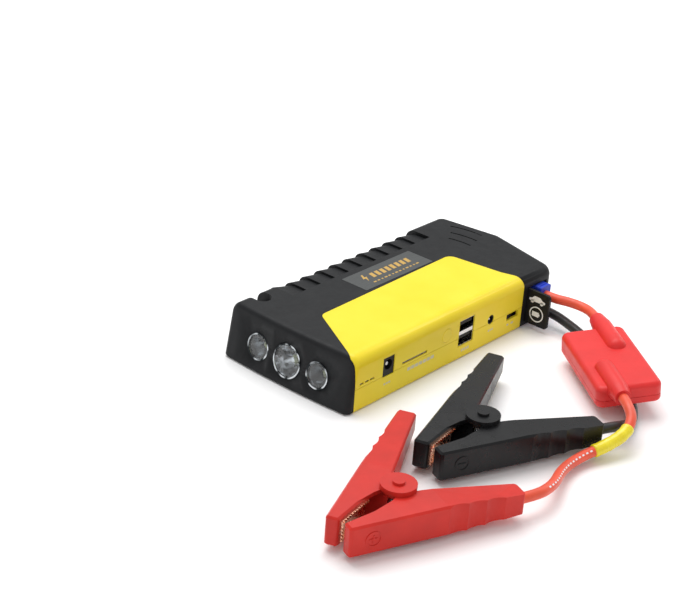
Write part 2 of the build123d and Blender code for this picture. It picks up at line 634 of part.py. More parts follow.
RED_OUT_ROUTE = [
    on_module(-NEAR_TIP, SNOUT_Y, SNOUT_Z), on_module(-NEAR_TIP - 8.0, SNOUT_Y, SNOUT_Z), (-5.5, -160.2, 14.6),
    (-14.6, -162.4, 10.6), (-26.5, -159.4, 7.2), (-39.8, -154.9, 5.1), (-52.5, -154.6, 5.0),
    (-64.0, -157.3, 6.2), (-74.0, -161.6, 8.0), (-83.2, -164.3, 9.7),
    *clamp_end(RED_AT, RED_YAW, RED_HANDLE, RED_REACH)]


# ---------------------------------------------------------------- module

def module_body():
    body = block(-MODULE_L / 2, MODULE_L / 2, -MODULE_W / 2, MODULE_W / 2, 0, MODULE_H)
    body = fillet(body.edges().filter_by(Axis.Z), 4.5)
    body = fillet(body.faces().sort_by(Axis.Z)[-1].edges(), 3.2)
    return fillet(body.faces().sort_by(Axis.Z)[0].edges(), 2.0)


def snout(side, tip):
    """Half-round duct over the cover, running out into a tapered strain relief; side is +1 or -1 along X."""
    y = -side * SNOUT_Y
    root = side * (MODULE_L / 2 - SNOUT_OVERLAP)
    wall = side * MODULE_L / 2
    duct = rod((root, y, SNOUT_Z), (side, 0, 0), SNOUT_R, abs(wall - root) + 1)
    duct += Pos(root, y, SNOUT_Z) * Sphere(SNOUT_R)
    base = Plane((wall + side, y, SNOUT_Z), z_dir=(side, 0, 0)) * Circle(SNOUT_R)
    end = Plane((side * tip, y, SNOUT_Z), z_dir=(side, 0, 0)) * Circle(SNOUT_TIP_R)
    return duct + loft([base, end])


def make_module():
    body = module_body()
    ducts = snout(1, FAR_TIP) + snout(-1, NEAR_TIP)
    hollow = block(-MODULE_L / 2 + 2, MODULE_L / 2 - 2, -MODULE_W / 2 + 2, MODULE_W / 2 - 2, 2, MODULE_H - 2)
    above = block(-60, 60, -40, 40, MODULE_SPLIT_Z, 40)
    below = block(-60, 60, -40, 40, -10, MODULE_SPLIT_Z - 0.2)
    upper = (body & above) + (ducts & above) - hollow
    lower = (body & below) - hollow
    for x, y in MODULE_SCREWS:
        lower += post(x, y, 1.5, MODULE_SPLIT_Z - 0.2, 2.6)
        upper += post(x, y, MODULE_SPLIT_Z, MODULE_H - 1.5, 2.6)
        lower -= post(x, y, -1, 6, 1.25)
        lower -= post(x, y, -1, 1.2, 2.1)
        upper -= post(x, y, MODULE_SPLIT_Z - 1, MODULE_H - 3, 1.0)
    return upper, lower


def make_module_inside():
    board = block(-30, 30, -9.8, 15, 3.4, 4.6)
    relay = block(-14, 6, -8, 8, 4.6, 9.8)
    screws = []
    for x, y in MODULE_SCREWS:
        board -= post(x, y, 0, 10, 3.0)
        screws.append(post(x, y, 0.05, 1.2, 2.0) + post(x, y, 1.2, 8.4, 0.98))
    return board, relay, screws


# ---------------------------------------------------------------- clamps

def jaw_tip_y(spread):
    """Local Y of the jaw's inner corner, JAW_MEET short of the line on which the two jaws meet."""
    half = radians(spread / 2)
    return (JAW_X * sin(half) - JAW_MEET) / cos(half)


def arm_face(handle, spread):
    """Plan of one clamp arm: straight outer edge, jaw, throat, pivot bulge and handle."""
    points = [(JAW_X, OUTER_Y), (handle, OUTER_Y), (handle, HANDLE_END_Y), (9.0, -6.0), (-2.0, -5.0),
              (-8.0, -9.0), (THROAT_X, THROAT_Y), (JAW_X, jaw_tip_y(spread))]
    return make_face(Polyline(*points, close=True))


def arm_block(handle, spread, z0, z1):
    """Arm before hollowing: rounded corners, tapered handle and three finger scallops."""
    solid = Pos(0, 0, z0) * extrude(arm_face(handle, spread), z1 - z0)
    for side, z in ((1, z1), (-1, z0)):
        end_z = z - side * TAPER_H * (handle + 5 - TAPER_X) / (handle - TAPER_X)
        wedge = [(TAPER_X, z), (handle + 5, end_z), (handle + 5, z + side * 5), (TAPER_X, z + side * 5)]
        solid -= extrude(Plane.XZ * make_face(Polyline(*wedge, close=True)), 60, both=True)
    for i in range(3):
        centre_x = 21.0 + (i + (handle - BLACK_HANDLE) / 27) * SCALLOP_PITCH
        solid -= post(centre_x, OUTER_Y - SCALLOP_R + SCALLOP_DEPTH, z0 - 1, z1 + 1, SCALLOP_R)
    corners = solid.edges().filter_by(Axis.Z).sort_by(Axis.X)
    solid = fillet(corners[0:2] + corners[-2:], 1.6)
    mid = (z0 + z1) / 2
    long_edges = [e for e in solid.edges() if e.length > 15 and abs(e.center().Y - OUTER_Y) < 0.8
                  and abs(e.center().Z - mid) > 2]
    return chamfer(long_edges, 1.0)


def pole_mark(plus):
    """Raised ring with a generic pole bar on the arm's outer face near the jaw."""
    x, z = -24.0, (ARM_Z0 + ARM_Z1) / 2
    y0, y1 = OUTER_Y - 0.3, OUTER_Y + 0.3
    mark = along_y(y0, y1, x, z, 4.0) - along_y(y0 - 1, y1 + 1, x, z, 3.4)
    mark += block(x - 2.0, x + 2.0, y0, y1, z - 0.35, z + 0.35)
    if plus:
        mark += block(x - 0.35, x + 0.35, y0, y1, z - 2.0, z + 2.0)
    return mark


def make_cable_arm(handle, spread, plus):
    arm = arm_block(handle, spread, ARM_Z0, ARM_Z1)
    y0, z0, z1 = OUTER_Y + OUTER_WALL, ARM_Z0 + FLANGE, ARM_Z1 - FLANGE
    arm -= block(JAW_X + 2.0, TAPER_X, y0, 5, z0, z1)
    arm -= block(TAPER_X - 1, handle - 2.5, y0, 5, z0 + TAPER_H, z1 - TAPER_H)
    arm -= post(0, 0, -1, 30, LUG_R + LUG_CLEAR)
    arm += post(0, 0, ARM_Z1, ARM_Z1 + 2.5, DISC_R) + post(0, 0, ARM_Z0 - 2.5, ARM_Z0, DISC_R)
    arm += post(0, 0, ARM_Z1 + 2.5, ARM_Z1 + 2.5 + BOSS_H, BOSS_R)
    arm -= post(0, 0, 1.0, ARM_Z1 + 2.5, PIN_R)
    return arm + pole_mark(plus)


def across_bisector(shape, spread):
    """Mirror about the line through the pivot that halves the angle between the arms."""
    half = spread / 2
    return Rot(0, 0, half) * mirror(Rot(0, 0, -half) * shape, about=Plane.XZ)


def make_lever_arm(spread):
    """Arm with the pivot lug; hollow at the jaw and around the spring, solid along the handle."""
    z0, z1 = ARM_Z0 + LEVER_GAP, ARM_Z1 - LEVER_GAP
    arm = arm_block(LEVER_HANDLE, spread, z0, z1) + post(0, 0, z0, z1, LUG_R)
    arm -= block(JAW_X + 2.0, TAPER_X + 4, OUTER_Y + OUTER_WALL, 5, z0 + FLANGE, z1 - FLANGE)
    arm -= post(0, 0, z0 + FLANGE, z1 - FLANGE, LUG_R + 1)
    arm -= post(0, 0, -1, 30, PIN_R + PIN_CLEAR)
    return across_bisector(arm, spread)


def zigzag(length):
    """Saw-toothed outline from 0 to length."""
    count = int(length / TOOTH)
    pitch = length / count
    points = []
    for i in range(count):
        points += [(i * pitch, TOOTH_LOW), ((i + 0.5) * pitch, TOOTH_HIGH)]
    return points + [(length, TOOTH_LOW)]


def make_jaw(spread, z0, z1):
    """Copper jaw along the arm's inner edge: a strip with toothed edges at its top, bottom and tip."""
    back = -2.0
    strip = block(0, JAW_L, back, back + 1.0, z0, z1)
    rim = make_face(Polyline((0, back), *zigzag(JAW_L), (JAW_L, back), close=True))
    for z in (z0, z1 - JAW_SHEET):
        strip += Pos(0, 0, z) * extrude(rim, JAW_SHEET)
    tip = make_face(Polyline((0, back), *zigzag(z1 - z0), (z1 - z0, back), close=True))
    tip_plane = Plane((0, 0, z0), x_dir=(0, 0, 1), z_dir=(-1, 0, 0))
    strip += extrude(tip_plane * tip, -JAW_SHEET)
    slope = (THROAT_Y - jaw_tip_y(spread)) / (THROAT_X - JAW_X)
    start_x = JAW_X + 2.1
    start_y = jaw_tip_y(spread) + slope * (start_x - JAW_X)
    return Pos(start_x, start_y, 0) * Rot(0, 0, degrees(atan(slope))) * strip


def make_pin():
    return post(0, 0, 1.0, ARM_Z1 + 2.5, PIN_R)


def make_spring(spread):
    """Torsion spring: the coil's outer form with a leg lying along the inside of each arm."""
    z0, z1 = ARM_Z0 + LEVER_GAP + FLANGE + 0.4, ARM_Z1 - LEVER_GAP - FLANGE - 0.4
    coil = post(0, 0, z0, z1, 4.6) - post(0, 0, z0 - 1, z1 + 1, 3.2)
    mid = (z0 + z1) / 2
    leg = extrude(Plane((0, -3.9, mid - 2.2), z_dir=(1, -0.62, 0)) * Circle(0.7), 18)
    return coil + leg + Pos(0, 0, 4.4) * across_bisector(leg, spread)


def make_tail(handle):
    """Insulated end of the lead inside the cable arm, crimped to a strip that runs to the jaw."""
    y, z = (OUTER_Y + HANDLE_END_Y) / 2, (ARM_Z0 + ARM_Z1) / 2
    wire = along_x(24.0, handle - 2.5, y, z, 2.3)
    strip = block(-12.0, 25.0, OUTER_Y + OUTER_WALL, OUTER_Y + OUTER_WALL + 0.8, z - 3, z + 3)
    return wire + strip


def save_clamp(prefix, at, yaw, spread, handle, plus):
    place = Pos(*at) * Rot(0, 0, yaw)
    gap = ARM_Z0 + FLANGE, ARM_Z1 - FLANGE
    lever_gap = gap[0] + LEVER_GAP, gap[1] - LEVER_GAP
    save(prefix + "_cable_arm", place * make_cable_arm(handle, spread, plus))
    save(prefix + "_lever_arm", place * make_lever_arm(spread))
    save(prefix + "_cable_jaw", place * make_jaw(spread, *gap))
    save(prefix + "_lever_jaw", place * across_bisector(make_jaw(spread, *lever_gap), spread))
    save(prefix + "_pivot_pin", place * make_pin())
    save(prefix + "_spring", place * make_spring(spread))
    save(prefix + "_cable_tail", place * make_tail(handle))


# ---------------------------------------------------------------- write all nodes

save("upper_case", make_case())
save("base_plate", make_base())
panel_upper, panel_lower = make_panels()
save("side_panel_upper", panel_upper)
save("side_panel_lower", panel_lower)
save("label_plate", block(LABEL_BOX[0] + FIT, LABEL_BOX[1] - FIT, LABEL_BOX[2] + FIT, LABEL_BOX[3] - FIT,
                          TOP_Z - LABEL_SINK, TOP_Z - LABEL_SINK + LABEL_T))
save("base_pads", *[post(x, y, 0, PAD_T, PAD_R) for x, y in PAD_AT])
save("case_screws", *[make_screw(x, y) for x, y in SCREW_AT])

save("torch_reflector_centre", make_reflector(*CENTRE_LAMP))
save("torch_reflectors_side", *[make_reflector(*lamp) for lamp in SIDE_LAMPS])
save("torch_lens_centre", make_lens(*CENTRE_LAMP))
save("torch_lenses_side", *[make_lens(*lamp) for lamp in SIDE_LAMPS])
save("torch_leds", *[make_led(*lamp) for lamp in [CENTRE_LAMP] + SIDE_LAMPS])
save("torch_board", make_torch_board())

save("power_button", make_button())
save("button_board", make_button_board())
switch_body, switch_knob = make_switch()
save("mode_switch_body", switch_body)
save("mode_switch_knob", switch_knob)
usb_shell, usb_insert = make_usb()
save("usb_shell", usb_shell)
save("usb_insert", usb_insert)
output_body, output_pin = make_dc_output()
save("dc_output_jack", output_body)
save("dc_output_pin", output_pin)
input_body, input_pin = make_dc_input()
save("dc_input_jack", input_body)
save("dc_input_pin", input_pin)
level_bar, output_dashes = make_light_bars()
save("level_light_bar", level_bar)
save("output_lights", *output_dashes)
save("main_board", make_main_board())

save("battery_cells", *make_cells())
save("cell_tabs", *make_tabs())
save("cell_foam", make_foam())
save("bus_bars", *make_bus_bars())
save("jump_socket", make_socket())
save("socket_contacts", *make_socket_contacts())
save("port_flap", make_flap())
save("flap_hinge_pin", make_hinge_pin())

save("jump_plug", make_plug())
save("plug_contacts", *make_plug_contacts())
save("red_lead_in", make_lead(RED_IN_ROUTE))
save("black_lead", make_lead(BLACK_ROUTE))
save("red_lead_out", make_lead(RED_OUT_ROUTE))
save("lead_sleeve", make_sleeve(RED_OUT_ROUTE))

module_upper, module_lower = make_module()
save("module_upper_cover", module_place() * module_upper)
save("module_lower_cover", module_place() * module_lower)
module_board, module_relay, module_screws = make_module_inside()
save("module_board", module_place() * module_board)
save("module_relay", module_place() * module_relay)
save("module_screws", *[module_place() * screw for screw in module_screws])

save_clamp("red", RED_AT, RED_YAW, RED_SPREAD, RED_HANDLE, True)
save_clamp("black", BLACK_AT, BLACK_YAW, BLACK_SPREAD, BLACK_HANDLE, False)
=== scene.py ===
import json
from math import cos, pi, radians, sin

import bpy
from mathutils import Matrix, Vector


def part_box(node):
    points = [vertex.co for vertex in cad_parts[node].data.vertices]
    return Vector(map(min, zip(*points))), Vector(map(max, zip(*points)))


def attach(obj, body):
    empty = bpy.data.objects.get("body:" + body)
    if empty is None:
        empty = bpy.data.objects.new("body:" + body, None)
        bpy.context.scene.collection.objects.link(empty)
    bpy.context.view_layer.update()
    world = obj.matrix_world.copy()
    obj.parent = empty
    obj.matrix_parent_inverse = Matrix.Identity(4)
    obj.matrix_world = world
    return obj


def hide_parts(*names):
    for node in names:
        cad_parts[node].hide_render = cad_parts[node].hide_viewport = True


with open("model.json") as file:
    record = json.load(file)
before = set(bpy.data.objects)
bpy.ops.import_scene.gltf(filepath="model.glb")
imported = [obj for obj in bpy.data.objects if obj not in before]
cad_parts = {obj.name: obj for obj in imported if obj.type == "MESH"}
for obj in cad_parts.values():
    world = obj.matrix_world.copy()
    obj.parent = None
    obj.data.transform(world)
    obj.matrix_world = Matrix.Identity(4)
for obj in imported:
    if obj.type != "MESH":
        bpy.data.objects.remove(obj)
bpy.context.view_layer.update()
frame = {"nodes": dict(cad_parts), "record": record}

# Jump starter pack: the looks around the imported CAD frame. Lengths in this file are millimetres
# unless a name says otherwise, and MM turns them into Blender's metres.
MM = 0.001
NODES = frame["nodes"]

# Camera: looks down on the torch end and the port side
AIM = (-16.1, 21.9, 17.0)
AZIMUTH, ELEVATION, ROLL = radians(-50.56), radians(26.2), radians(4.3)
DISTANCE = 935.0
LENS = 85.154

# Leads: control points of each lead's line, the same as the routes of the CAD tubes
LEAD_R = 2.75
RED_IN_ROUTE = [
    (73.8, -49.5, 17.9), (73.8, -56.5, 17.9), (75.2, -65.0, 18.7), (76.6, -74.0, 18.3),
    (73.83, -81.73, 18.76), (68.62, -88.45, 18.76)]
BLACK_ROUTE = [
    (73.8, -49.5, 8.3), (73.8, -57.0, 8.3), (73.4, -66.5, 6.4), (72.4, -77.5, 3.8), (67.4, -88.5, 2.85),
    (59.2, -100.5, 2.85), (50.2, -112.5, 2.85), (40.6, -125.0, 2.85), (30.8, -137.0, 2.85),
    (22.6, -144.6, 2.85), (13.6, -150.0, 3.1), (4.8, -153.6, 5.2), (-4.0, -155.6, 8.2),
    (-13.62, -153.61, 10.5), (-21.0, -150.53, 10.5)]
RED_OUT_ROUTE = [
    (5.52, -147.07, 17.33), (0.62, -153.39, 17.33), (-5.5, -160.2, 14.6), (-14.6, -162.4, 10.6),
    (-26.5, -159.4, 7.2), (-39.8, -154.9, 5.1), (-52.5, -154.6, 5.0), (-64.0, -157.3, 6.2),
    (-74.0, -161.6, 8.0), (-83.2, -164.3, 9.7), (-93.44, -164.56, 10.5), (-102.71, -160.8, 10.5)]

# Sleeve and print on the red output lead: stretches along it from the module, in steps of LINE_STEP
LINE_STEP = 0.5
SLEEVE_R = 3.5
SLEEVE_SPAN = (23.0, 48.0)
SLEEVE_ROLL = 0.7
PRINT_SPAN = (50.0, 104.0)
PRINT_TURN, PRINT_HALF_WIDTH = radians(128), radians(9)
DASH_STEPS, DASH_PITCH = 3, 6

# Clamps: pivot point, yaw of the cable arm and the angle between the two arms
CLAMPS = {
    "red": ((-147.3, -123.1), radians(-22.1), radians(44.5)),
    "black": ((-67.5, -111.4), radians(-22.7), radians(40.5))}

# Clamp springs: heights of the coil's ends, radii of coil and wire, whole turns, and steps in a turn.
# Each leg point is a distance along the arm and one out from the coil.
SPRING_Z = (6.2, 14.8)
SPRING_R, SPRING_WIRE_R = 3.95, 0.62
SPRING_TURNS, TURN_STEPS = 6, 28
SPRING_LEG = [(16.8, 9.0), (8.0, 2.6), (2.4, 0.2)]
LEG_ROOT_X = -0.5

# Torch lamps: each one's centre along Y and lens radius, where their line meets the leaning front
# face, and that face's lean. The bowl's throat and flare are shares of the lens radius.
LAMPS = {"centre": (-1.0, 8.7), "left": (20.3, 6.7), "right": (-22.0, 6.7)}
LAMP_AT, LAMP_LEAN = (-92.4, 0.0, 14.6), radians(10.1)
BOWL_SETBACK, BOWL_DEPTH = 1.5, 8.6
BOWL_THROAT, BOWL_FLARE = 0.26, 0.72
FACET_RINGS, FACETS = 4, 12

# Printed marks, and the contact strips under the USB tongues
INK_T = 0.04
TONGUE_LOW, TONGUE_HIGH, TONGUE_T, STRIP_GAP = 4.5, 1.9, 0.9, 0.05
STRIP_COUNT, STRIP_FIRST, STRIP_PITCH = 4, -3.5, 2.33

# CAD solids: welding distance in metres, the least angle rounded, and the rounding of each node
WELD_M = 0.000002
ROUND_OVER = radians(40)
EDGE_ROUND = {
    "label_plate": 0.10, "port_flap": 0.35, "jump_plug": 0.25,
    "module_upper_cover": 0.35, "module_lower_cover": 0.35,
    "red_cable_arm": 0.55, "red_lever_arm": 0.55, "black_cable_arm": 0.55, "black_lever_arm": 0.55}

# Studio: strength of the even surround; name, position, target, size (metres) and watts of each light
SURROUND = 0.62
LIGHTS = [
    ("overhead", (0.15, 0.35, 1.1), (0.0, -0.03, 0.0), (1.1, 0.9), 12.0),
    ("front_fill", (-0.95, -0.75, 0.55), (-0.02, -0.05, 0.02), (0.7, 0.5), 0.6),
    ("right_rim", (1.0, -0.15, 0.6), (0.05, -0.1, 0.02), (0.5, 0.6), 1.8)]
FLOOR_SIZE, FLOOR_Z = 8.0, -0.0002


# ---------------------------------------------------------------- camera, stage, light

def make_camera():
    back = Vector((sin(AZIMUTH) * cos(ELEVATION), -cos(AZIMUTH) * cos(ELEVATION), sin(ELEVATION)))
    side = Vector((0, 0, 1)).cross(back).normalized()
    up = back.cross(side)
    right = side * cos(ROLL) + up * sin(ROLL)
    top = up * cos(ROLL) - side * sin(ROLL)
    data = bpy.data.cameras.new("camera")
    data.lens = LENS
    data.clip_start = 0.02
    camera = bpy.data.objects.new("camera", data)
    place = Matrix((right, top, back)).transposed().to_4x4()
    place.translation = (Vector(AIM) + back * DISTANCE) * MM
    camera.matrix_world = place
    bpy.context.scene.collection.objects.link(camera)
    bpy.context.scene.camera = camera


def add_area(name, position, target, size, power):
    data = bpy.data.lights.new(name, "AREA")
    data.shape = "RECTANGLE"
    data.size, data.size_y = size
    data.energy = power
    light = bpy.data.objects.new(name, data)
    light.location = position
    light.rotation_euler = (Vector(target) - Vector(position)).to_track_quat("-Z", "Y").to_euler()
    bpy.context.scene.collection.objects.link(light)


def make_studio():
    world = bpy.data.worlds.new("studio")
    bpy.context.scene.world = world
    world.use_nodes = True
    background = world.node_tree.nodes["Background"]
    background.inputs["Color"].default_value = (1.0, 1.0, 1.0, 1.0)
    background.inputs["Strength"].default_value = SURROUND
    bpy.context.scene.view_settings.view_transform = "Standard"
    for light in LIGHTS:
        add_area(*light)

    bpy.ops.mesh.primitive_plane_add(size=FLOOR_SIZE, location=(0, 0, FLOOR_Z))
    floor = bpy.context.object
    floor.name = "floor"
    floor.data.materials.append(floor_paper())


# ---------------------------------------------------------------- materials

class Shader:
    """A Principled material and short ways to wire noise into it."""

    def __init__(self, name, colour, roughness, metallic=0.0):
        self.material = bpy.data.materials.new(name)
        self.material.use_nodes = True
        self.tree = self.material.node_tree
        self.bsdf = self.tree.nodes["Principled BSDF"]
        self.set("Base Color", (*colour, 1.0))
        self.set("Roughness", roughness)
        self.set("Metallic", metallic)
        self.place = self.add("ShaderNodeTexCoord").outputs["Object"]

    def add(self, kind, **values):
        node = self.tree.nodes.new(kind)
        for key, value in values.items():
            setattr(node, key, value)
        return node

    def set(self, socket, value):
        self.bsdf.inputs[socket].default_value = value

    def link(self, source, target):
        self.tree.links.new(source, target)

    def stretched(self, scale):
        node = self.add("ShaderNodeMapping")
        node.inputs["Scale"].default_value = scale
        self.link(self.place, node.inputs["Vector"])
        return node.outputs["Vector"]

    def noise(self, size, detail=2.0, vector=None):
        """Noise with features about size millimetres across."""
        node = self.add("ShaderNodeTexNoise")
        node.inputs["Scale"].default_value = 1.0 / (size * MM)
        node.inputs["Detail"].default_value = detail
        self.link(vector or self.place, node.inputs["Vector"])
        return node.outputs["Fac"]

    def ramp(self, value, low, high, at=(0.3, 0.7)):
        """Maps value onto a colour or grey from low to high."""
        node = self.add("ShaderNodeValToRGB")
        for element, spot, colour in zip(node.color_ramp.elements, at, (low, high)):
            element.position = spot
            shade = colour if hasattr(colour, "__len__") else (colour, colour, colour)
            element.color = (*shade, 1.0)
        self.link(value, node.inputs["Fac"])
        return node.outputs["Color"]

    def tint(self, size, low, high, detail=3.0, at=(0.3, 0.7), vector=None):
        """Colour that drifts between low and high."""
        value = self.noise(size, detail, vector)
        self.link(self.ramp(value, low, high, at), self.bsdf.inputs["Base Color"])

    def polish(self, size, low, high, detail=3.0, vector=None):
        """Roughness that wanders between low and high."""
        value = self.noise(size, detail, vector)
        self.link(self.ramp(value, low, high), self.bsdf.inputs["Roughness"])

    def bump(self, layers):
        """Stacked bumps; each layer is (size, height, detail) in millimetres."""
        normal = None
        for size, height, detail in layers:
            node = self.add("ShaderNodeBump")
            node.inputs["Distance"].default_value = height * MM
            self.link(self.noise(size, detail), node.inputs["Height"])
            if normal:
                self.link(normal, node.inputs["Normal"])
            normal = node.outputs["Normal"]
        self.link(normal, self.bsdf.inputs["Normal"])


def floor_paper():
    paper = Shader("floor_paper", (0.98, 0.98, 0.98), 0.9)
    paper.set("Specular IOR Level", 0.1)
    return paper.material


def moulded(name, colour, roughness, grain=0.35, height=0.02, spread=0.12, specular=0.3):
    """Injection-moulded plastic: spark-eroded grain, slow unevenness and a faint drift of colour."""
    plastic = Shader(name, colour, roughness)
    dark = [c * (1 - spread) for c in colour]
    light = [min(1.0, c * (1 + spread * 0.5)) for c in colour]
    plastic.tint(14.0, dark, light)
    plastic.polish(5.0, roughness - 0.05, roughness + 0.05)
    plastic.bump([(grain, height, 3.0), (9.0, height * 1.5, 1.0)])
    plastic.set("Specular IOR Level", specular)
    return plastic.material


def metal(name, colour, roughness, size):
    """Bare metal, uneven in colour and polish."""
    shader = Shader(name, colour, roughness, 1.0)
    shader.tint(size, [c * 0.82 for c in colour], colour, 4.0)
    shader.polish(size, roughness * 0.7, roughness * 1.35, 4.0)
    shader.bump([(size * 0.3, 0.004, 3.0)])
    return shader.material


def panel_yellow():
    yellow = Shader("panel_yellow", (0.86, 0.69, 0.030), 0.33)
    yellow.tint(30.0, (0.82, 0.655, 0.022), (0.89, 0.71, 0.040))
    yellow.polish(8.0, 0.29, 0.37)
    yellow.bump([(0.5, 0.008, 2.0), (16.0, 0.03, 1.0)])
    yellow.set("Specular IOR Level", 0.22)
    yellow.set("Subsurface Weight", 0.06)
    yellow.set("Subsurface Radius", (1.0, 0.6, 0.2))
    yellow.set("Subsurface Scale", 0.0008)
    return yellow.material


def label_grey():
    """Satin metal-look film: long fine brushing along the case."""
    film = Shader("label_grey", (0.14, 0.145, 0.148), 0.36, 0.35)
    brushed = film.stretched((0.05, 1.0, 1.0))
    film.tint(0.35, (0.055, 0.060, 0.060), (0.088, 0.093, 0.092), 4.0, vector=brushed)
    film.polish(0.5, 0.30, 0.42, vector=brushed)
    film.bump([(0.4, 0.003, 2.0)])
    return film.material


def lens_clear():
    glass = Shader("lens_clear", (0.97, 0.985, 1.0), 0.02)
    glass.set("Transmission Weight", 1.0)
    glass.set("IOR", 1.46)
    glass.bump([(4.0, 0.01, 1.0)])
    return glass.material


def reflector():
    mirror = Shader("reflector", (0.55, 0.56, 0.58), 0.12, 1.0)
    # Painted reflection: the dark patches in this colour stand in for dark surroundings mirrored in the
    # bowl, which the white studio has none of.
    mirror.tint(4.5, (0.022, 0.025, 0.027), (0.55, 0.58, 0.60), 0.5, (0.44, 0.62))
    mirror.polish(3.0, 0.08, 0.20)
    mirror.bump([(4.0, 0.05, 1.0)])
    return mirror.material


def led_yellow():
    phosphor = Shader("led_yellow", (0.38, 0.42, 0.20), 0.35)
    phosphor.tint(1.0, (0.26, 0.30, 0.12), (0.50, 0.54, 0.30))
    phosphor.set("Coat Weight", 0.8)
    phosphor.set("Coat Roughness", 0.08)
    return phosphor.material


def circuit_board():
    board = Shader("circuit_board", (0.03, 0.16, 0.08), 0.35)
    traces = board.stretched((1.0, 4.0, 1.0))
    board.tint(1.6, (0.015, 0.10, 0.05), (0.05, 0.23, 0.12), 0.0, (0.48, 0.52), traces)
    board.bump([(1.6, 0.01, 0.0)])
    return board.material


def light_bar():
    """Smoked window strip over the level lights, with the dull gold of the lights below it."""
    strip = Shader("light_bar", (0.10, 0.075, 0.05), 0.22)
    strip.tint(1.9, (0.035, 0.026, 0.02), (0.20, 0.15, 0.085), 1.0, (0.42, 0.58))
    strip.set("Coat Weight", 0.6)
    return strip.material


def lead_rubber(name, colour):
    """Soft silicone insulation: satin, with slow dents and a little dust sheen."""
    rubber = Shader(name, colour, 0.42)
    rubber.tint(9.0, [c * 0.88 for c in colour], [min(1.0, c * 1.08) for c in colour])
    rubber.polish(3.0, 0.36, 0.50)
    rubber.bump([(0.6, 0.01, 2.0), (7.0, 0.06, 1.0)])
    rubber.set("Sheen Weight", 0.12)
    rubber.set("Sheen Roughness", 0.4)
    return rubber.material


def sleeve_yellow():
    """Shrunk film: glossy, with shallow creases along and round it."""
    film = Shader("sleeve_yellow", (0.90, 0.74, 0.035), 0.25)
    film.tint(6.0, (0.78, 0.63, 0.018), (0.88, 0.74, 0.030))
    film.polish(2.5, 0.18, 0.34)
    film.bump([(1.2, 0.03, 2.0), (4.5, 0.10, 1.0)])
    return film.material


def printed(name, colour, roughness=0.45, metallic=0.0):
    """Screen-printed ink: a hair uneven in cover."""
    ink = Shader(name, colour, roughness, metallic)
    ink.tint(0.6, [c * 0.86 for c in colour], colour, 2.0)
    ink.bump([(0.3, 0.004, 2.0)])
    return ink.material


MATERIALS = {
    "case_black": moulded("case_black", (0.0095, 0.0102, 0.0115), 0.50, 0.45, 0.03, 0.14, 0.20),
    "panel_yellow": panel_yellow(),
    "label_grey": label_grey(),
    "pad_rubber": moulded("pad_rubber", (0.045, 0.045, 0.046), 0.75, 0.8, 0.05, 0.2, 0.3),
    "steel": metal("steel", (0.66, 0.66, 0.67), 0.24, 1.2),
    "reflector": reflector(),
    "lens_clear": lens_clear(),
    "led_yellow": led_yellow(),
    "circuit_board": circuit_board(),
    "black_plastic": moulded("black_plastic", (0.010, 0.010, 0.011), 0.44, 0.3, 0.012, 0.12, 0.2),
    "light_bar": light_bar(),
    "cell_foil": metal("cell_foil", (0.68, 0.69, 0.70), 0.28, 6.0),
    "nickel": metal("nickel", (0.70, 0.69, 0.65), 0.30, 1.0),
    "copper": metal("copper", (0.93, 0.52, 0.36), 0.24, 0.9),
    "brass_contact": metal("brass_contact", (0.86, 0.66, 0.30), 0.22, 1.0),
    "plug_blue": moulded("plug_blue", (0.030, 0.065, 0.56), 0.40, 0.4, 0.012, 0.12, 0.22),
    "lead_red": lead_rubber("lead_red", (0.80, 0.085, 0.035)),
    "lead_black": lead_rubber("lead_black", (0.016, 0.016, 0.017)),
    "sleeve_yellow": sleeve_yellow(),
    "module_red": moulded("module_red", (0.74, 0.032, 0.030), 0.40, 0.5, 0.012, 0.08),
    "clamp_red": moulded("clamp_red", (0.60, 0.026, 0.018), 0.34, 0.5, 0.012, 0.10, 0.26),
    "clamp_black": moulded("clamp_black", (0.0075, 0.0077, 0.0085), 0.30, 0.5, 0.010, 0.15, 0.26),
}
INK_GOLD = printed("ink_gold", (0.72, 0.45, 0.12), 0.35, 0.6)
INK_WHITE = printed("ink_white", (0.85, 0.85, 0.86))
INK_GREY = printed("ink_grey", (0.62, 0.58, 0.42))


# ---------------------------------------------------------------- CAD nodes

def dress_cad():
    """Gives each CAD node its material, and softens the edges of those in EDGE_ROUND."""
    for entry in frame["record"]["subparts"]:
        node = NODES[entry["node"]]
        node.data.materials.clear()
        node.data.materials.append(MATERIALS[entry["material_slot"]])
        weld = node.modifiers.new("weld", "WELD")
        weld.merge_threshold = WELD_M
        if entry["node"] in EDGE_ROUND:
            bevel = node.modifiers.new("edge_round", "BEVEL")
            bevel.width = EDGE_ROUND[entry["node"]] * MM
            bevel.segments = 3
            bevel.limit_method = "ANGLE"
            bevel.angle_limit = ROUND_OVER
            bevel.harden_normals = True


# ---------------------------------------------------------------- helpers for new pieces

def add_piece(name, mesh, material, body):
    piece = bpy.data.objects.new(name, mesh)
    bpy.context.scene.collection.objects.link(piece)
    mesh.materials.append(material)
    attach(piece, body)
    return piece


def new_mesh(name, points, faces, smooth=True):
    """Mesh from points in millimetres."""
    mesh = bpy.data.meshes.new(name)
    mesh.from_pydata([tuple(c * MM for c in p) for p in points], [], faces)
    if smooth:
        mesh.shade_smooth()
    return mesh


def lead_curve(name, route, material):
    """A lead as one smooth round curve with route as its control points."""
    curve = bpy.data.curves.new(name, "CURVE")
    curve.dimensions = "3D"
    spline = curve.splines.new("NURBS")
    spline.points.add(len(route) - 1)
    for point, (x, y, z) in zip(spline.points, route):
        point.co = (x * MM, y * MM, z * MM, 1.0)
    spline.order_u = 3
    spline.use_endpoint_u = True
    curve.resolution_u = 12
    curve.bevel_depth = LEAD_R * MM
    curve.bevel_resolution = 7
    curve.use_fill_caps = True
    curve.materials.append(material)
    lead = bpy.data.objects.new(name, curve)
    bpy.context.scene.collection.objects.link(lead)
    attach(lead, "pack")
    return lead


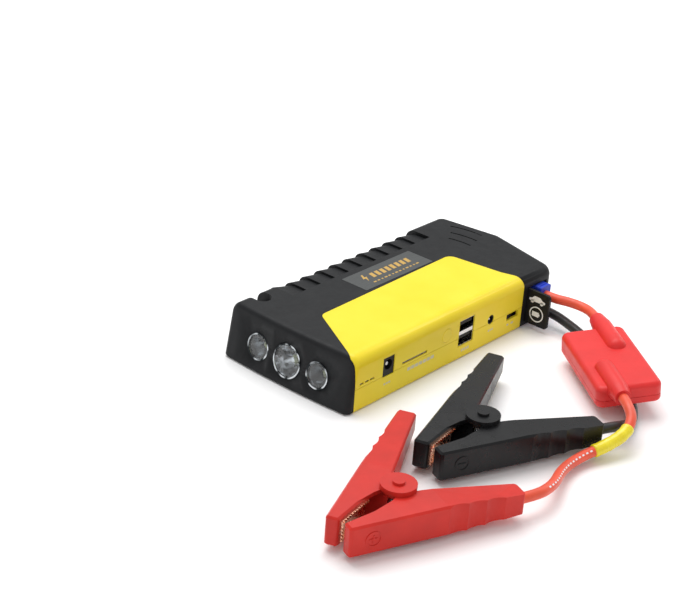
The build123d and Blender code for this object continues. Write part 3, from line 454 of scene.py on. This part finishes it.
def line_of(lead):
    """Points along a lead's own line, in millimetres."""
    bare = lead.data.copy()
    bare.bevel_depth = 0.0
    helper = bpy.data.objects.new("line", bare)
    mesh = bpy.data.meshes.new_from_object(helper)
    points = [v.co / MM for v in mesh.vertices]
    bpy.data.objects.remove(helper)
    bpy.data.meshes.remove(mesh)
    return points


def stations(points, start, end, step):
    """Points and directions every step along a line, between two distances from its start."""
    spots = []
    gone, wanted = 0.0, start
    for a, b in zip(points, points[1:]):
        run = (b - a).length
        while wanted <= gone + run and wanted <= end:
            spots.append((a.lerp(b, (wanted - gone) / run), (b - a).normalized()))
            wanted += step
        gone += run
    return spots


def ring_frame(direction):
    """Level and upright directions square to a line's direction."""
    side = direction.cross(Vector((0, 0, 1))).normalized()
    return side, side.cross(direction)


def swept(spots, radius_at, around=28):
    """Points and faces of a closed tube over spots; radius_at(i) is its radius at each."""
    points, faces = [], []
    for i, (spot, direction) in enumerate(spots):
        side, up = ring_frame(direction)
        for k in range(around):
            turn = 2 * pi * k / around
            points.append(spot + (side * cos(turn) + up * sin(turn)) * radius_at(i))
    for i in range(len(spots) - 1):
        for k in range(around):
            n = (k + 1) % around
            faces.append((i * around + k, i * around + n, (i + 1) * around + n, (i + 1) * around + k))
    faces.append(tuple(reversed(range(around))))
    faces.append(tuple((len(spots) - 1) * around + k for k in range(around)))
    return points, faces


# ---------------------------------------------------------------- leads and sleeve

def make_leads():
    red_in = lead_curve("red_lead_in_cord", RED_IN_ROUTE, MATERIALS["lead_red"])
    black = lead_curve("black_lead_cord", BLACK_ROUTE, MATERIALS["lead_black"])
    red_out = lead_curve("red_lead_out_cord", RED_OUT_ROUTE, MATERIALS["lead_red"])
    for lead, node, slot in ((red_in, "red_lead_in", "lead_red"), (black, "black_lead", "lead_black"),
                             (red_out, "red_lead_out", "lead_red")):
        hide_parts(node)
    sleeve = make_sleeve(red_out)
    prints = make_lead_print(red_out)


def make_sleeve(lead):
    """Yellow film round the red lead, its mouths rolled in to the insulation."""
    spots = stations(line_of(lead), *SLEEVE_SPAN, LINE_STEP)
    last = len(spots) - 1

    def radius_at(i):
        from_end = min(i, last - i) * LINE_STEP
        swell = 0.09 * sin(i * 0.55) * sin(i * 0.17)
        roll = max(0.0, 1.0 - from_end / SLEEVE_ROLL)
        return SLEEVE_R - 0.12 + swell - (SLEEVE_R - LEAD_R - 0.15) * roll ** 2

    points, faces = swept(spots, radius_at)
    mesh = new_mesh("lead_sleeve_film", points, faces)
    sleeve = add_piece("lead_sleeve_film", mesh, MATERIALS["sleeve_yellow"], "pack")
    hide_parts("lead_sleeve")
    return sleeve


def make_lead_print(lead):
    """Row of small pale dashes printed along the red lead."""
    spots = stations(line_of(lead), *PRINT_SPAN, LINE_STEP)
    points, faces = [], []
    for first in range(0, len(spots) - DASH_STEPS - 1, DASH_PITCH):
        for i in range(first, first + DASH_STEPS):
            patch = []
            for spot, direction in (spots[i], spots[i + 1]):
                side, up = ring_frame(direction)
                for turn in (PRINT_TURN - PRINT_HALF_WIDTH, PRINT_TURN + PRINT_HALF_WIDTH):
                    patch.append(spot + (side * cos(turn) + up * sin(turn)) * (LEAD_R + 0.03))
            base = len(points)
            points += patch
            faces.append((base, base + 1, base + 3, base + 2))
    mesh = new_mesh("red_lead_print", points, faces)
    return add_piece("red_lead_print", mesh, INK_WHITE, "pack")


# ---------------------------------------------------------------- clamp springs

def clamp_place(colour):
    (x, y), yaw, _ = CLAMPS[colour]
    return Matrix.Translation((x, y, 0)) @ Matrix.Rotation(yaw, 4, "Z")


def wire_mesh(name, line, place):
    """Round wire along a line of local points; its last direction carries straight on."""
    beyond = tuple(2 * p - q for p, q in zip(line[-1], line[-2]))
    spots = [(place @ Vector(a), (place.to_3x3() @ (Vector(b) - Vector(a))).normalized())
             for a, b in zip(line, line[1:] + [beyond])]
    return new_mesh(name, *swept(spots, lambda i: SPRING_WIRE_R, 12))


def across(point, spread):
    """Mirror of a clamp's local point about the line that halves the angle between its arms."""
    x, y, z = point
    return (x * cos(spread) + y * sin(spread), x * sin(spread) - y * cos(spread), z)


def make_springs():
    """Wound torsion springs.

    The coil and its lower leg stay with the cable arm, and the upper leg turns with the lever.
    """
    z0, z1 = SPRING_Z
    for colour, (_, _, spread) in CLAMPS.items():
        place = clamp_place(colour)
        leg = [(x, -SPRING_R - out) for x, out in SPRING_LEG]
        sweep = SPRING_TURNS * 2 * pi - pi - spread
        steps = int(sweep * TURN_STEPS / (2 * pi))
        coil = [(*spot, z0) for spot in leg]
        for i in range(steps + 1):
            turn = -pi / 2 - sweep * i / steps
            coil.append((SPRING_R * cos(turn), SPRING_R * sin(turn), z0 + (z1 - z0) * i / steps))
        mesh = wire_mesh(colour + "_spring_coil", coil, place)
        piece = add_piece(colour + "_spring_coil", mesh, MATERIALS["steel"], "pack")
        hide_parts(colour + "_spring")
        upper = [across((*spot, z1), spread) for spot in [(LEG_ROOT_X, -SPRING_R), *reversed(leg)]]
        mesh = wire_mesh(colour + "_spring_leg", upper, place)
        add_piece(colour + "_spring_leg", mesh, MATERIALS["steel"], colour + "_lever")


# ---------------------------------------------------------------- torch reflectors

def make_reflectors():
    """Faceted metallised bowls set into the plain cups, square to the leaning front face."""
    place = Matrix.Translation(LAMP_AT) @ Matrix.Rotation(LAMP_LEAN, 4, "Y")
    for side, (y, lens_r) in LAMPS.items():
        points, faces = [], []
        for ring in range(FACET_RINGS + 1):
            reach = ring / FACET_RINGS
            radius = lens_r * (BOWL_THROAT + BOWL_FLARE * reach ** 0.75)
            x = BOWL_SETBACK + BOWL_DEPTH * (1 - reach) * (1 - 0.25 * reach)
            for k in range(FACETS):
                turn = 2 * pi * (k + 0.5 * (ring % 2)) / FACETS
                points.append(place @ Vector((x, y + radius * cos(turn), radius * sin(turn))))
        for ring in range(FACET_RINGS):
            for k in range(FACETS):
                n = (k + 1) % FACETS
                a, b = ring * FACETS + k, ring * FACETS + n
                c, d = a + FACETS, b + FACETS
                faces += [(a, b, d), (a, d, c)] if ring % 2 else [(a, b, c), (b, d, c)]
        mesh = new_mesh("torch_bowl_" + side, points, faces, smooth=False)
        add_piece("torch_bowl_" + side, mesh, MATERIALS["reflector"], "pack")


# ---------------------------------------------------------------- printed marks

def make_ink(name, shapes, place, ink, body):
    """Thin raised print.

    Each shape is an outline of (u, v) points in millimetres, or a ring as a pair of outlines.
    """
    points, faces = [], []
    for shape in shapes:
        ring = len(shape) == 2 and len(shape[0]) > 2
        outlines = shape if ring else [shape]
        base = len(points)
        for outline in outlines:
            for height in (0.0, INK_T):
                points += [place @ Vector((u, v, height)) for u, v in outline]
        count = len(outlines[0])
        if ring:
            for k in range(count):
                n = (k + 1) % count
                outer, inner = base + count, base + 3 * count
                faces.append((outer + k, outer + n, inner + n, inner + k))
                faces.append((base + k, base + n, outer + n, outer + k))
                faces.append((inner + k, inner + n, base + 2 * count + n, base + 2 * count + k))
        else:
            faces.append(tuple(base + count + k for k in range(count)))
            for k in range(count):
                n = (k + 1) % count
                faces.append((base + k, base + n, base + count + n, base + count + k))
    mesh = new_mesh(name, points, faces, smooth=False)
    return add_piece(name, mesh, ink, body)


def bar(u, v, width, height, slant=0.0):
    """Upright or slanted bar centred on (u, v)."""
    w, h = width / 2, height / 2
    return [(u - w - slant, v - h), (u + w - slant, v - h),
            (u + w + slant, v + h), (u - w + slant, v + h)]


def disc(u, v, radius, count=40):
    turns = [2 * pi * k / count for k in range(count)]
    return [(u + radius * cos(turn), v + radius * sin(turn)) for turn in turns]


def bolt(u, v, height):
    """Lightning bolt pictogram."""
    h = height / 2
    outline = [(0.10, 1.0), (-0.55, -0.12), (-0.08, -0.12), (-0.28, -1.0),
               (0.52, 0.22), (0.06, 0.22), (0.42, 1.0)]
    return [(u + x * h, v + y * h) for x, y in outline]


def facing(origin, along, up):
    """Matrix that lays (u, v) outlines on a face through origin, u towards along and v towards up."""
    along, up = Vector(along).normalized(), Vector(up).normalized()
    place = Matrix((along, up, along.cross(up))).transposed().to_4x4()
    place.translation = Vector(origin)
    return place


def make_marks():
    """Generic marks in place of words: label, flap, and beside the ports."""
    low, high = (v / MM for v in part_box("label_plate"))
    middle = ((low.x + high.x) / 2, (low.y + high.y) / 2, high.z)
    place = facing(middle, (1, 0, 0), (0, 1, 0))
    shapes = [bolt(-18.0, 1.5, 7.6)]
    shapes += [bar(-11.5 + i * 4.3, 1.5, 2.7, 5.0, 0.5) for i in range(8)]
    shapes += [bar(-17.0 + i * 3.1, -5.0, 2.2 - 0.5 * (i % 3), 1.1) for i in range(13)]
    make_ink("label_marks", shapes, place, INK_GOLD, "pack")

    low, high = (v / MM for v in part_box("port_flap"))
    place = facing((low.x, (low.y + high.y) / 2 - 1.0, (low.z + high.z) / 2), (0, -1, 0), (0, 0, 1))
    ring = (disc(0.5, -3.3, 4.8), disc(0.5, -3.3, 4.1))
    cell = [bar(-0.1, -3.3, 4.6, 3.0), bar(2.5, -3.3, 0.5, 1.4)]
    car = [(-5.4, 4.6), (-4.6, 4.2), (4.9, 4.2), (5.6, 4.7), (5.5, 5.6), (3.6, 6.2), (1.9, 7.6), (-1.9, 7.7),
           (-3.6, 6.1), (-5.3, 5.7)]
    wheels = [disc(-3.2, 4.1, 1.05, 24), disc(3.3, 4.1, 1.05, 24)]
    make_ink("flap_marks", [ring, *cell, car, *wheels], place, INK_WHITE, "flap")

    near_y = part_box("side_panel_lower")[0].y / MM
    place = facing((0.0, near_y, 0.0), (1, 0, 0), (0, 0, 1))
    shapes = [bar(-44.0 + i * 3.3, 10.6, 2.7, 1.9) for i in range(7)]
    shapes += [bar(-64.0 + i * 2.0, 8.6, 1.3, 1.1) for i in range(3)]
    shapes += [bar(2.6 + i * 1.9, 5.2, 1.2, 1.7) for i in range(4)]
    shapes += [bar(26.6 + i * 1.7, 9.0, 1.0, 1.3) for i in range(3)]
    shapes += [bar(45.0, 6.6, 1.6, 1.2), bar(49.2, 6.6, 2.2, 1.2)]
    make_ink("port_marks", shapes, place, INK_GREY, "pack")


# ---------------------------------------------------------------- port details

def make_port_details():
    """Contact strips on the USB tongues."""
    low, high = (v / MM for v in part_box("usb_insert"))
    points, faces = [], []
    for tongue_z in (low.z + TONGUE_LOW - TONGUE_T - STRIP_GAP, high.z - TONGUE_HIGH - TONGUE_T - STRIP_GAP):
        for i in range(STRIP_COUNT):
            x = (low.x + high.x) / 2 + STRIP_FIRST + i * STRIP_PITCH
            base = len(points)
            for dx, dy in ((-0.5, 0.4), (0.5, 0.4), (0.5, 7.0), (-0.5, 7.0)):
                points.append((x + dx, low.y + dy, tongue_z))
            faces.append(tuple(base + k for k in (3, 2, 1, 0)))
    mesh = new_mesh("usb_contact_strips", points, faces, smooth=False)
    add_piece("usb_contact_strips", mesh, MATERIALS["brass_contact"], "pack")


make_camera()
make_leads()
make_studio()
dress_cad()
make_springs()
make_reflectors()
make_marks()
make_port_details()
